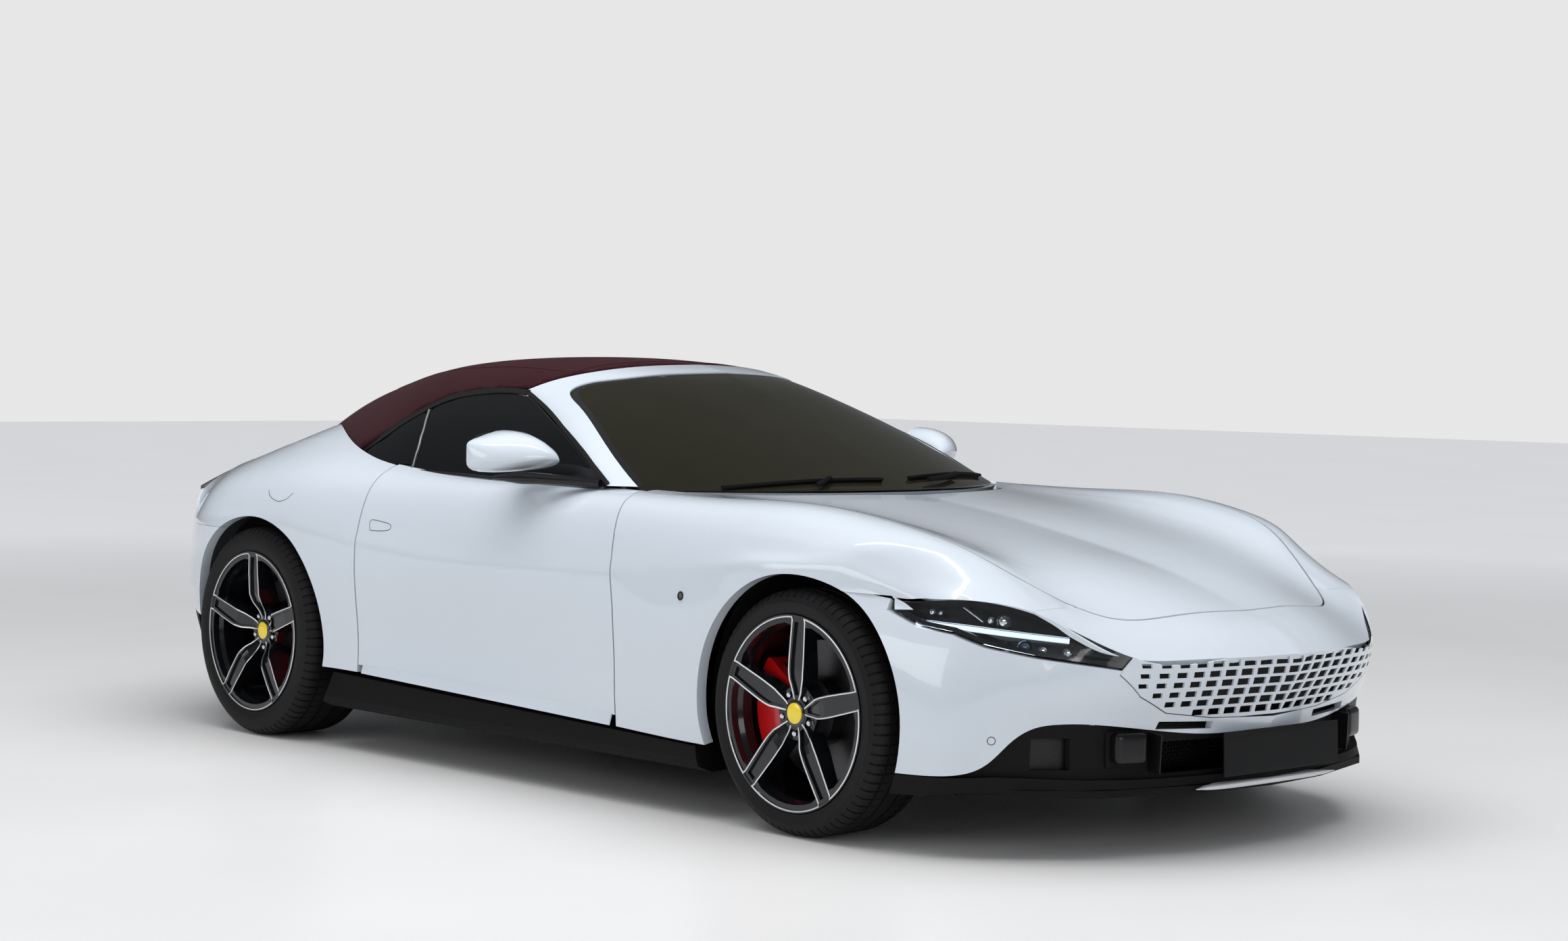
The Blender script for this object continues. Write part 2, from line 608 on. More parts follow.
# --- mirrors: shell, stalk, lamp strip, rim and glass ---
# Each row of the shell is y, bottom, top and how far it reaches ahead.
MIRROR_BACK = -0.028
MIRROR_Y, MIRROR_Z = -0.948, 1.01
MIRROR_CREASE = 0.36
MIRROR_ROWS = [(-1.048, 0.98, 1.026, 0.01), (-1.0465, 0.97, 1.033, 0.026), (-1.04, 0.961, 1.04, 0.044),
               (-1.025, 0.953, 1.047, 0.068), (-1.0, 0.948, 1.055, 0.096), (-0.97, 0.946, 1.064, 0.122),
               (-0.94, 0.946, 1.071, 0.145), (-0.91, 0.947, 1.075, 0.164), (-0.88, 0.949, 1.073, 0.178),
               (-0.856, 0.951, 1.062, 0.184), (-0.836, 0.953, 1.046, 0.184), (-0.828, 0.956, 1.034, 0.178),
               (-0.825, 0.962, 1.024, 0.168)]


def mirror_row(y, low, high, reach):
    """Half an oval with a crease below its middle, from the bottom around the front to the top."""
    crease = low + (high - low) * MIRROR_CREASE
    row = []
    for k in range(25):
        a = math.pi * (k / 24) - math.pi / 2
        if a < 0:
            x, z = reach * math.cos(a)**0.75, crease - (crease - low) * abs(math.sin(a))**1.25
        else:
            x, z = reach * math.cos(a)**0.85, crease + (high - crease) * math.sin(a)**1.05
        row.append((MIRROR_BACK + x, y, z))
    return row


def mirror_oval(x, share):
    """The outline of the right mirror's face at x, drawn in to a share of its size."""
    return [(x, MIRROR_Y + 0.096 * share * math.cos(a), MIRROR_Z + 0.06 * share * math.sin(a))
            for a in angles(48)]


shells = pair("mirror_shell", rings([mirror_row(*row) for row in MIRROR_ROWS], caps=True), PAINT, "door_",
              slot="body_paint", sharp=60)
path = along([(0.318, -0.804, 0.922), (0.25, -0.838, 0.927), (0.175, -0.88, 0.931), (0.1, -0.925, 0.933),
              (0.02, -0.985, 0.931)], 20)
rows = []
for i, p in enumerate(path):
    t = i / (len(path) - 1)
    narrowing = max(0, t - 0.75) / 0.25
    width = 0.016 + 0.028 * t - 0.034 * narrowing
    tall = 0.012 + 0.01 * t - 0.017 * narrowing
    ahead = (path[min(i + 1, len(path) - 1)] - path[max(i - 1, 0)]).normalized()
    across = ahead.cross(Vector((0, 0, 1))).normalized()
    rows.append([tuple(p + across * width * math.cos(a) + Vector((0, 0, tall * math.sin(a))))
                 for a in angles(16)])
stalks = pair("mirror_stalk", rings(rows, caps=True), SENSOR_BLACK, "door_")
for side, shell, stalk in zip(SIDES, shells, stalks):
    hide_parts(f"door_mirror_{side}")
    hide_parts(f"door_mirror_{side}")
lamp_line = along([(0.19, -0.888, 0.947), (0.14, -0.92, 0.95), (0.095, -0.948, 0.951)], 8)
pair("mirror_lamp", tube(lamp_line, 0.0016, 8), DARK_CHROME, "door_")
rim = rings([mirror_oval(-0.0276, 1), mirror_oval(-0.0335, 0.985), mirror_oval(-0.0335, 0.93),
             mirror_oval(-0.03, 0.93)])
pair("mirror_rim", rim, GLOSS_BLACK, "door_")
rows = [mirror_oval(-0.0312 - 0.0012 * (1 - k * k), 0.93 * k) for k in (1.0, 0.75, 0.5, 0.25, 0.02)]
pair("mirror_glass", rings(rows, caps=True), MIRROR, "door_")

# --- windscreen: black border, wipers ---
screen_skin = skin("windscreen")
BORDER = [(0.612, 0.764), (0.448, 0.744), (0.241, 0.688), (0.05, 0.613), (-0.098, 0.555), (-0.157, 0.529),
          (-0.182, 0.503), (-0.179, 0.468), (-0.118, 0.378), (-0.051, 0.218), (-0.03, 0.0)]
border = across_middle(along([(x, y, 0) for x, y in BORDER], 40))
spots, normals = lay(screen_skin, [(p.x, p.y, 1.2) for p in border], DOWNWARD)
piece("screen_border", band(spots, normals, 0.022, 0.0008, 0.001), GLOSS_BLACK)


def screen_path(points, count, height):
    """A line laid on the windscreen, held a little above it."""
    spots, normals = lay(screen_skin, along([(x, y, 1.4) for x, y in points], count), DOWNWARD)
    normals = steady(normals)
    return lifted(spots, normals, height), normals


for name, blade_line, arm_line in (
        ("wiper_driver", [(0.762, 0.06), (0.726, 0.23), (0.668, 0.4), (0.588, 0.56)],
         [(0.785, 0.12), (0.758, 0.22), (0.712, 0.32)]),
        ("wiper_passenger", [(0.585, -0.64), (0.682, -0.44), (0.738, -0.26), (0.768, -0.06)],
         [(0.765, -0.42), (0.762, -0.33), (0.74, -0.255)])):
    blade_path = screen_path(blade_line, 28, 0.004)
    lip = sweep(*blade_path, [(-0.002, -0.004), (-0.002, 0.002), (0.002, 0.002), (0.002, -0.004)])
    spine = sweep(*blade_path, [(-0.007, 0.002), (-0.004, 0.008), (0.004, 0.01), (0.008, 0.005),
                                (0.006, 0.002)])
    arm = sweep(*screen_path(arm_line, 14, 0.016), strip(0.008, -0.003, 0.003, 0.004, 0.006))
    piece(name, merged(lip, spine, arm), PLASTIC)


# --- small details on the body ---
def ring_on(tree, centre, toward, outer, inner, height):
    """A flat ring laid on a surface."""
    toward = Vector(toward).normalized()
    across = toward.orthogonal().normalized()
    other = toward.cross(across)
    rows = []
    for radius, lift in ((outer, -0.001), (outer, height), (inner, height), (inner, -0.001)):
        around = [Vector(centre) + radius * (math.cos(a) * across + math.sin(a) * other) for a in angles(28)]
        spots, normals = lay(tree, around, toward)
        rows.append([tuple(s) for s in lifted(spots, normals, lift)])
    return rings(rows)


HANDLE = [(-0.694, -1.2, 0.731), (-0.702, -1.2, 0.75), (-0.699, -1.2, 0.763), (-0.68, -1.2, 0.765),
          (-0.63, -1.2, 0.76), (-0.6, -1.2, 0.755), (-0.592, -1.2, 0.747), (-0.6, -1.2, 0.737),
          (-0.64, -1.2, 0.732), (-0.694, -1.2, 0.731)]
FLAP = [(-1.284, -0.955, 0.838), (-1.268, -0.956, 0.82), (-1.238, -0.96, 0.807), (-1.201, -0.962, 0.802),
        (-1.165, -0.955, 0.811), (-1.14, -0.945, 0.832)]
MARKER = (0.876, -1.1, 0.63)
LINE_WIDTH, LINE_HEIGHT = 0.0022, 0.0004

door_skin = skin("door_right")
fender_skin = skin("front_fenders")
nose_skin = skin("front_bumper", "grille")
tail_skin = skin("rear_bumper")
quarter_skin = skin("quarter_panels")
pair("door_handle", seam(door_skin, HANDLE, (0, 1, 0), LINE_WIDTH, LINE_HEIGHT, 60), LINE, "door_")
piece("fuel_flap_line", seam(quarter_skin, FLAP, (0, 1, -0.35), LINE_WIDTH, LINE_HEIGHT, 50), LINE)
for name, tree, centre, toward, outer, inner, height, material in (
        ("side_marker_ring", fender_skin, MARKER, (0, 1, 0), 0.013, 0.008, 0.002, GLOSS_BLACK),
        ("side_marker_lens", fender_skin, MARKER, (0, 1, 0), 0.0082, 0.0005, 0.0012, CHROME),
        ("nose_sensor", nose_skin, (2.1, -0.95, 0.318), (-0.72, 0.69, 0), 0.0115, 0.0095, 0.0006, LINE),
        ("tail_sensor_1", tail_skin, (-2.6, -0.3, 0.66), (1, 0.25, 0), 0.0115, 0.0095, 0.0006, LINE),
        ("tail_sensor_2", tail_skin, (-2.6, -0.78, 0.62), (1, 0.25, 0), 0.0115, 0.0095, 0.0006, LINE)):
    pair(name, ring_on(tree, centre, toward, outer, inner, height), material)


SCAN_TOP, SCAN_BOTTOM, SCAN_STEP = 0.32, 0.12, 0.001
FLANK_INNER = -0.7


def lowest(tree, x):
    """The lowest point of the right flank's outer surface at x."""
    found, z = None, SCAN_TOP
    while z > SCAN_BOTTOM:
        spot, _, _, _ = tree.ray_cast(Vector((x, -1.3, z)), Vector((0, 1, 0)))
        if spot is None or spot.y > FLANK_INNER:
            break
        found, z = spot, z - SCAN_STEP
    return found


# The doors' lower lip: a painted strip that carries the fender's lower edge on to the quarter panel's
FENDER_END, QUARTER_END = 0.59, -0.79
LIP_START, LIP_LENGTH, LIP_STEPS = 0.552, 1.28, 48
ahead, behind = lowest(fender_skin, FENDER_END), lowest(quarter_skin, QUARTER_END)
rows = []
for k in range(LIP_STEPS + 1):
    x = LIP_START - LIP_LENGTH * k / LIP_STEPS
    upper = lowest(door_skin, x)
    low = ahead.lerp(behind, (FENDER_END - x) / (FENDER_END - QUARTER_END))
    y, z = min(upper.y + 0.004, low.y, -0.948), min(low.z, upper.z - 0.002)
    rows.append([(x, upper.y - 0.0003, upper.z + 0.004), (x, (upper.y + y) / 2 - 0.001, (upper.z + z) / 2),
                 (x, y, z), (x, y + 0.0018, z), (x, upper.y + 0.004, upper.z + 0.001)])
pair("door_lower_edge", rings(rows, caps=True), PAINT, "door_", slot="body_paint")

# --- tail: dark lip above the lamps, plate, lamps ---
LIP_LINE = [(-2.072, -0.735, 0.806), (-2.14, -0.628, 0.833), (-2.213, -0.502, 0.862), (-2.262, -0.375, 0.877),
            (-2.29, -0.245, 0.887), (-2.3075, -0.12, 0.89), (-2.3125, 0.0, 0.89)]
LIP_SECTION = [(-0.011, -0.006), (-0.011, 0.003), (-0.006, 0.0065), (0.006, 0.0065), (0.01, 0.003),
               (0.01, -0.006)]
line = across_middle(along(LIP_LINE, 30))
normals = [Vector((p.x + 1.2, p.y * 1.1, 0)).normalized() for p in line]
piece("tail_lip", sweep([(p.x + 0.004, p.y, p.z) for p in line], normals, LIP_SECTION), GLOSS_BLACK)
piece("rear_plate", block((0.004, 0.52, 0.11), (-2.3035, 0, 0.5)), PLATE_DARK)

LAMP_YS = [-0.165 - 0.04 * k for k in range(7)]
loop = [(-3, y, 0.757) for y in LAMP_YS] + [(-3, -0.419, 0.764), (-3, -0.421, 0.795), (-3, -0.419, 0.826)]
loop += [(-3, y, 0.833) for y in reversed(LAMP_YS)]
loop += [(-3, -0.16, 0.826), (-3, -0.159, 0.795), (-3, -0.16, 0.764)]
spots, normals = lay(tail_skin, loop, (1, 0, 0))
middle = sum(spots, Vector()) / len(spots)
rows = []
for grow, lift in ((0.0035, -0.002), (0.0035, 0.0012), (-0.0045, 0.0012), (-0.0045, -0.004)):
    rows.append([tuple(s + Vector((0, s.y - middle.y, s.z - middle.z)).normalized() * grow + n * lift)
                 for s, n in zip(spots, normals)])
pair("tail_lamp_frame", rings(rows), GLOSS_BLACK)
lamp_skin = skin("tail_lamps")
for k, z in enumerate((0.778, 0.812)):
    line = [(-3, -0.186 - 0.144 * i / 20, z) for i in range(21)]
    pair(f"tail_light_line_{k + 1}", band(*lay(lamp_skin, line, (1, 0, 0)), 0.006, 0.0008, 0.001), TAIL_LIGHT)
pair("tail_lamp_back", block((0.006, 0.235, 0.054), (-2.236, -0.29, 0.795), turn=(0, 0, 0.1)), MESH)

# --- engine: ribbed cover, two red cam covers, intake pipes and side shields ---
cover = [block((0.3, 0.15, 0.03), (1.07, 0, 0.704), soft=0.35, crown=0.003)]
cover += [block((0.28, 0.008, 0.01), (1.07, 0.02 * k, 0.7215)) for k in range(-3, 4)]
piece("engine_cover", merged(*cover), PLASTIC, sharp=25)
cam = [block((0.36, 0.12, 0.034), (1.075, -0.19, 0.703), turn=(0.1, 0, 0), soft=0.35, crown=0.003)]
cam += [block((0.34, 0.006, 0.008), (1.075, -0.15 - 0.02 * k, 0.7225 - 0.002 * k)) for k in range(5)]
pair("cam_cover", merged(*cam), RED, sharp=25)
runners = []
for x in (0.95, 1.03, 1.11, 1.19):
    runner_line = [(x, -0.085, 0.7), (x, -0.105, 0.725), (x, -0.13, 0.728), (x, -0.15, 0.715)]
    runners.append(tube(along(runner_line, 12), 0.011))
pair("intake_runners", merged(*runners), DARK_CHROME)
pair("bay_shield", block((0.01, 0.23, 0.56), (0.842, -0.7, 0.5)), PLASTIC)

# --- headlamps ---
cover_skin = skin("lamp_covers")
INTO_LAMP = (-0.62, 0.78, -0.05)


def on_cover(points, depth):
    """Points of the right lamp moved a little behind its cover, and the way the cover faces there."""
    spots, normals = lay(cover_skin, points, INTO_LAMP)
    return lifted(spots, normals, -depth), normals


def cover_plate(points, near, far):
    """A flat plate behind the right lamp's cover, between two depths."""
    return rings([on_cover(points, far)[0], on_cover(points, near)[0]], caps=True)


bar_line = along([(1.722, -0.866, 0.6195), (1.79, -0.842, 0.6135), (1.853, -0.812, 0.609),
                  (1.959, -0.738, 0.596), (2.066, -0.641, 0.5815)], 40)
pair("running_light", band(*on_cover(bar_line, 0.011), 0.0125, 0.004, 0.006), LIGHT)
trim_line = [p + Vector((0, 0, 0.0095)) for p in bar_line]
pair("lamp_upper_trim", band(*on_cover(trim_line, 0.012), 0.0035, 0.004, 0.008), CHROME)
WEDGE = [(1.65, -0.886, 0.6405), (1.718, -0.863, 0.632), (1.722, -0.866, 0.6265), (1.722, -0.868, 0.612),
         (1.7, -0.874, 0.62)]
pair("lamp_rear_wedge", cover_plate(WEDGE, 0.0075, 0.0115), BLUE_GREY, smooth=False)

NOTCH_LOW, NOTCH_TOP, NOTCH_AHEAD = (1.629, -0.886, 0.644), (1.64, -0.872, 0.679), (1.707, -0.858, 0.6475)
notch = along([NOTCH_LOW, (1.63, -0.88, 0.658), NOTCH_TOP], 8)
notch += along([NOTCH_TOP, (1.672, -0.862, 0.666), NOTCH_AHEAD], 10)[1:]
notch += along([NOTCH_AHEAD, (1.665, -0.873, 0.6455), NOTCH_LOW], 10)[1:-1]
spots, normals = lay(skin("lamp_covers", "front_fenders"), notch, INTO_LAMP)
normals = steady(normals)
crest = sum(spots, Vector()) / len(spots) + normals[0] * 0.0012
rows = [lifted(spots, normals, -0.002), lifted(spots, normals, 0.0008),
        [p.lerp(crest, 0.12) for p in lifted(spots, normals, 0.0014)]]
pair("lamp_notch", rings(rows, caps=True), PAINT)

DOME = [(math.cos(t), 0.55 * math.sin(t)) for t in (0, 0.35, 0.7, 1.05, 1.35, 1.5)]
LENSES = (((1.984, -0.724, 0.563), (0.86, -0.5, 0.02), 0.0165, PROJECTOR),
          ((1.95, -0.752, 0.5635), (0.86, -0.5, 0.02), 0.0125, CHROME),
          ((2.02, -0.69, 0.556), (0.86, -0.5, 0.02), 0.0125, CHROME),
          ((2.068, -0.646, 0.55), (0.86, -0.5, 0.02), 0.0135, CHROME),
          ((1.93, -0.75, 0.632), (0.86, -0.5, 0.1), 0.015, CHROME),
          ((1.902, -0.772, 0.634), (0.86, -0.5, 0.1), 0.01, CHROME),
          ((1.752, -0.846, 0.65), (0.8, -0.6, 0.1), 0.0085, CHROME),
          ((1.775, -0.838, 0.648), (0.8, -0.6, 0.1), 0.0065, CHROME))
for k, (spot, axis, radius, lens_look) in enumerate(LENSES):
    centre = on_cover([spot], 0.024)[0][0]
    lens = turned([(radius * r, radius * h) for r, h in DOME], centre, axis, 28)
    pair(f"lamp_lens_{k + 1}", lens, lens_look)
    bezel = turned([(radius * 1.32, -0.008), (radius * 1.34, 0.003), (radius * 1.2, 0.006),
                    (radius * 1.02, 0.001), (radius, -0.008)], centre, axis, 28)
    pair(f"lamp_bezel_{k + 1}", bezel, DARK_CHROME)
fin = on_cover(along([(1.842, -0.813, 0.664), (1.865, -0.8, 0.648), (1.89, -0.785, 0.628)], 12), 0.014)
pair("lamp_fin", band(*fin, 0.006, 0.004, 0.01), CHROME)
wall = on_cover(along([(2.118, -0.594, 0.55), (2.108, -0.608, 0.538), (2.094, -0.624, 0.525)], 10), 0.0095)
pair("lamp_end_wall", band(*wall, 0.005, 0.003, 0.012), GLOSS_BLACK)
END_CAP = [(2.098, -0.622, 0.5215), (2.123, -0.592, 0.5525), (2.15, -0.556, 0.5375), (2.17, -0.532, 0.524),
           (2.1755, -0.52, 0.513), (2.15, -0.56, 0.512)]
pair("lamp_end_cap", cover_plate(END_CAP, 0.0062, 0.0125), GLOSS_BLACK, smooth=False)

# --- grille, intake and blade ---
SLICE = 0.04
face_x = {}
for v in NODES["grille"].data.vertices:
    face_x.setdefault(round(abs(v.co.y) / SLICE), []).append(v.co.x)
grille_x = [sum(face_x[k]) / len(face_x[k]) for k in sorted(face_x)]


def nose_x(y):
    """How far forward the grille reaches beside the middle."""
    place = min(abs(y) / SLICE, len(grille_x) - 1.001)
    k = int(place)
    return grille_x[k] + (grille_x[k + 1] - grille_x[k]) * (place - k)


rows = []
for z, back, reach in ((0.318, 0.112, 0.47), (0.35, 0.11, 0.47), (0.4, 0.05, 0.53), (0.45, 0.044, 0.53),
                       (0.5, 0.04, 0.53), (0.536, 0.04, 0.53)):
    rows.append([(nose_x(y) - back, y, z) for y in [reach * k / 14 for k in range(-14, 15)]])
back_verts, back_faces = rings([[(x - 0.006, y, z) for x, y, z in row] for row in rows], closed_rows=False)
backing = merged(rings(rows, closed_rows=False), (back_verts, [tuple(reversed(f)) for f in back_faces]))
piece("grille_backing", backing, MESH)
# The intake's mesh: hexagonal rings in staggered rows
CELL = [(0.0062, 0.0), (0.0062, 0.006), (0.0092, 0.006), (0.0092, 0.0)]
CELL_PITCH, ROW_PITCH = 0.0245, 0.0105
MESH_X, MESH_BOTTOM, MESH_HALF = 2.1, 0.232, 0.375
honey = []
for row in range(9):
    for column in range(-15, 16):
        y, z = CELL_PITCH * (column + 0.5 * (row % 2)), MESH_BOTTOM + ROW_PITCH * row
        if abs(y) < MESH_HALF:
            honey.append(turned(CELL, (MESH_X, y, z), (1, 0, 0), 6))
piece("intake_mesh", merged(*honey), PLASTIC, sharp=20)
piece("intake_back", block((0.012, 0.77, 0.1), (2.09, 0, 0.272)), MESH)
sensor = block((0.04, 0.094, 0.08), (2.136, -0.478, 0.296), turn=(0, 0, -0.32), soft=0.28, crown=0.002)
pair("intake_sensor_box", sensor, SENSOR_BLACK)
collar = block((0.02, 0.112, 0.1), (2.112, -0.474, 0.292), turn=(0, 0, -0.32), soft=0.3)
pair("intake_sensor_collar", collar, PLASTIC)
pair("intake_fin", block((0.075, 0.005, 0.104), (2.15, -0.404, 0.28), turn=(0, 0.05, -0.1)), SENSOR_BLACK)
pair("duct_back", block((0.012, 0.13, 0.115), (1.985, -0.64, 0.282), turn=(0, 0, -0.5)), MESH)
piece("front_plate", block((0.006, 0.5, 0.118), (2.2465, 0.03, 0.268), turn=(0, -0.03, 0)), PLATE_DARK)
BLADE_HALF = [(2.2235, -0.3, 0.181), (2.235, -0.2, 0.1825), (2.2405, -0.08, 0.183), (2.2415, 0.0, 0.183)]
BLADE_SECTION = ((-0.03, 0.0075), (-0.004, 0.0065), (0.0, 0.003), (0.0, -0.007), (-0.006, -0.0095),
                 (-0.03, -0.0095))
points = along(BLADE_HALF + [(x, -y, z) for x, y, z in reversed(BLADE_HALF[:-1])], 40)
rows = []
for i, p in enumerate(points):
    size = max(0.15, 1 - abs(i / (len(points) - 1) * 2 - 1)**6)
    ahead = Vector((1, p.y * 0.35, 0)).normalized()
    rows.append([tuple(p + ahead * a * size + Vector((0, 0, b * size))) for a, b in BLADE_SECTION])
piece("blade_edge", rings(rows, caps=True), BLADE_SILVER)

# --- fabric top: seams, rear window frame ---
top_skin = skin("soft_top")
TOP_SEAM = [(-0.33, -0.43, 1.5), (-0.7, -0.455, 1.5), (-1.0, -0.45, 1.5), (-1.3, -0.41, 1.5)]
HEADER_SEAM = [(-0.3, y, 1.5) for y in (-0.4, -0.2, 0.0, 0.2, 0.4)]
pair("top_seam", seam(top_skin, TOP_SEAM, DOWNWARD, 0.0045, 0.0016, 60, 0.0005), SEAM_CLOTH)
piece("top_header_seam", seam(top_skin, HEADER_SEAM, DOWNWARD, 0.0045, 0.0016, 40, 0.0005), SEAM_CLOTH)
# The opening's edge: outward from a point inside the rear window, the first place where the top is hit.
# It starts 60 mm out, which is past the edge ahead of the point, so the frame bulges a little in its middle.
OPENING_X = -1.465
OPENING_STEP = 0.002
TOP_LOWEST = 1.02
spots, normals = [], []
for angle in angles(96):
    for step in range(30, 260):
        reach = OPENING_STEP * step
        start = Vector((OPENING_X + reach * math.cos(angle), reach * math.sin(angle), 1.6))
        spot, normal, _, _ = top_skin.ray_cast(start, Vector(DOWNWARD))
        if spot is not None and spot.z > TOP_LOWEST:
            spots.append(spot)
            normals.append(normal if normal.z > 0 else -normal)
            break
normals = steady(normals, 4)
middle = sum(spots, Vector()) / len(spots)
rows = []
for grow, lift in ((0.014, -0.001), (0.013, 0.0022), (-0.006, 0.0022), (-0.008, -0.008)):
    rows.append([tuple(s + (s - middle).normalized() * grow + n * lift) for s, n in zip(spots, normals)])
piece("rear_window_frame", rings(rows), RUBBER)

# --- seats ---
PINCH = 0.05
BELLY = 0.5
SQUARENESS = 3.2
PAD_STEPS = (18, 22)
GROOVE_WIDTH = 0.006
VOXEL = 0.009
AIR_FRAMES = 20


def pad_outline(a):
    """A point of a pad's outline, between round and square, as shares of its half sizes."""
    c, s = math.cos(a), math.sin(a)
    reach = (abs(c)**SQUARENESS + abs(s)**SQUARENESS)**(-1 / SQUARENESS)
    return c * reach, s * reach


def drawn_in(u, v):
    """How far a pad's sides are drawn in between its corners, as factors for u and v."""
    return 1 - PINCH * (1 - min(1, v * v)), 1 - PINCH * (1 - min(1, u * u))


def pad_form(half, crown):
    """A closed pad around the origin: crowned on both faces, its sides drawn in between the corners."""
    half_u, half_v, half_w = half
    rows = []
    steps_around, steps_up = PAD_STEPS
    around = 4 * steps_around
    for k in range(steps_up + 1):
        polar = -math.pi / 2 + math.pi * k / steps_up
        level, girth = math.sin(polar), math.cos(polar)**0.42
        row = []
        for i in range(around):
            u, v = [c * girth for c in pad_outline(2 * math.pi * (i + 0.5) / around)]
            draw_u, draw_v = drawn_in(u, v)
            swell = half_w * level + (crown if level > 0 else crown * BELLY) * math.copysign(1, level) \
                * (1 - min(1, abs(u))**2) * (1 - min(1, abs(v))**2) * min(1, abs(level) * 1.4)
            row.append((u * half_u * draw_u, v * half_v * draw_v, swell))
        rows.append(row)
    return rings(rows, caps=True)


def inflate(obj, cap):
    """The pad swollen by pressure from inside, no point moving further than the cap."""
    remesh = obj.modifiers.new("remesh", "REMESH")
    remesh.mode = "VOXEL"
    remesh.voxel_size = VOXEL
    graph = bpy.context.evaluated_depsgraph_get()
    even = bpy.data.meshes.new_from_object(obj.evaluated_get(graph))
    obj.modifiers.remove(remesh)
    obj.data = even
    start = [v.co.copy() for v in even.vertices]
    air = obj.modifiers.new("air", "CLOTH")
    air.settings.quality = 4
    air.settings.mass = 0.25
    air.settings.tension_stiffness = 12
    air.settings.compression_stiffness = 12
    air.settings.use_pressure = True
    air.settings.uniform_pressure_force = 4
    air.settings.effector_weights.gravity = 0
    for number in range(1, AIR_FRAMES + 1):
        scene.frame_set(number)
    graph = bpy.context.evaluated_depsgraph_get()
    swollen = obj.evaluated_get(graph).to_mesh()
    moved = [v.co.copy() for v in swollen.vertices]
    obj.evaluated_get(graph).to_mesh_clear()
    obj.modifiers.remove(air)
    for vertex, before, after in zip(even.vertices, start, moved):
        step = after - before
        if step.length > cap:
            step *= cap / step.length
        vertex.co = before + step
    scene.frame_set(1)


def pad(name, half, place, axes, crown, grooves=("v", (), 0.0), cap=0.0):
    """A leather pad: formed flat, swollen by pressure where it has a cap, grooved, and set in place on the
    right; and its twin on the left. Grooves are the axis they are counted along, their places and depth."""
    flat = piece(name + "_right", pad_form(half, crown), LEATHER)
    if cap:
        inflate(flat, cap)
    u_axis, v_axis, w_axis = [Vector(a).normalized() for a in axes]
    counted_along, places, depth = grooves
    points = []
    for vertex in flat.data.vertices:
        u, v, w = vertex.co
        for groove in places:
            away = (v if counted_along == "v" else u) - groove
            if w > 0:
                w -= depth * math.exp(-(away / GROOVE_WIDTH)**2)
        points.append(Vector(place) + u_axis * u + v_axis * v + w_axis * w)
    polygons = [tuple(p.vertices) for p in flat.data.polygons]
    flat.data.clear_geometry()
    flat.data.from_pydata([tuple(p) for p in points], [], polygons)
    twin_mesh = bpy.data.meshes.new(name + "_left")
    twin_mesh.from_pydata([(p.x, -p.y, p.z) for p in points], [], [tuple(reversed(p)) for p in polygons])
    twin = bpy.data.objects.new(name + "_left", twin_mesh)
    scene.collection.objects.link(twin)
    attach(twin, "body")
    for obj in (flat, twin):
        obj.data.materials.clear()
        obj.data.materials.append(LEATHER)
        obj.data.polygons.foreach_set("use_smooth", [True] * len(obj.data.polygons))
    return [flat, twin]


def piping(name, half_u, half_v, place, axes):
    """The sewn cord around a pad's edge."""
    place = Vector(place)
    radius, level = 0.0028, 0.004
    u_axis, v_axis, w_axis = [Vector(a).normalized() for a in axes]
    line = []
    for a in angles(96):
        u, v = pad_outline(a)
        draw_u, draw_v = drawn_in(u, v)
        line.append(place + u_axis * (u * draw_u) * half_u + v_axis * (v * draw_v) * half_v + w_axis * level)
    rows = [[tuple(p + (p - place).normalized() * radius * math.cos(a) + w_axis * radius * math.sin(a))
             for p in line] for a in angles(8)]
    pair(name, rings(rows + rows[:1]), STITCH)


# The right seat's middle, and the pads' axes: across, along and out
SEAT = -0.37
ACROSS = (0, 1, 0)
CUSHION = (ACROSS, (0.9936, 0, 0.113), (-0.113, 0, 0.9936))
BACK = (ACROSS, (-0.305, 0, 0.952), (0.952, 0, 0.305))
HEAD = (ACROSS, (-0.625, 0, 0.78), (0.78, 0, 0.625))
BENCH = (ACROSS, (0.995, 0, 0.09), (-0.09, 0, 0.995))
BENCH_BACK = (ACROSS, (-0.187, 0, 0.982), (0.982, 0, 0.187))
seat_pieces = pad("seat_cushion", (0.148, 0.205, 0.036), (-0.105, SEAT, 0.394), CUSHION, 0.012,
                  ("v", (-0.12, -0.06, 0.0, 0.06, 0.12), 0.006), cap=0.01)
seat_pieces += pad("seat_back_pad", (0.148, 0.232, 0.036), (-0.519, SEAT, 0.716), BACK, 0.012,
                   ("v", (-0.15, -0.09, -0.03, 0.03, 0.09, 0.15), 0.006), cap=0.01)
seat_pieces += pad("seat_head_pad", (0.12, 0.058, 0.03), (-0.628, SEAT, 1.012), HEAD, 0.008, cap=0.006)
piping("seat_cushion_piping", 0.148, 0.205, (-0.105, SEAT, 0.398), CUSHION)
piping("seat_back_pad_piping", 0.148, 0.232, (-0.515, SEAT, 0.717), BACK)
for k, off in enumerate((-0.188, 0.188)):
    y = SEAT + off
    seat_pieces += pad(f"seat_bolster_{k + 1}", (0.036, 0.2, 0.044), (-0.105, y, 0.402), CUSHION, 0.006)
    seat_pieces += pad(f"back_bolster_{k + 1}", (0.036, 0.215, 0.046), (-0.512, y, 0.69), BACK, 0.006)

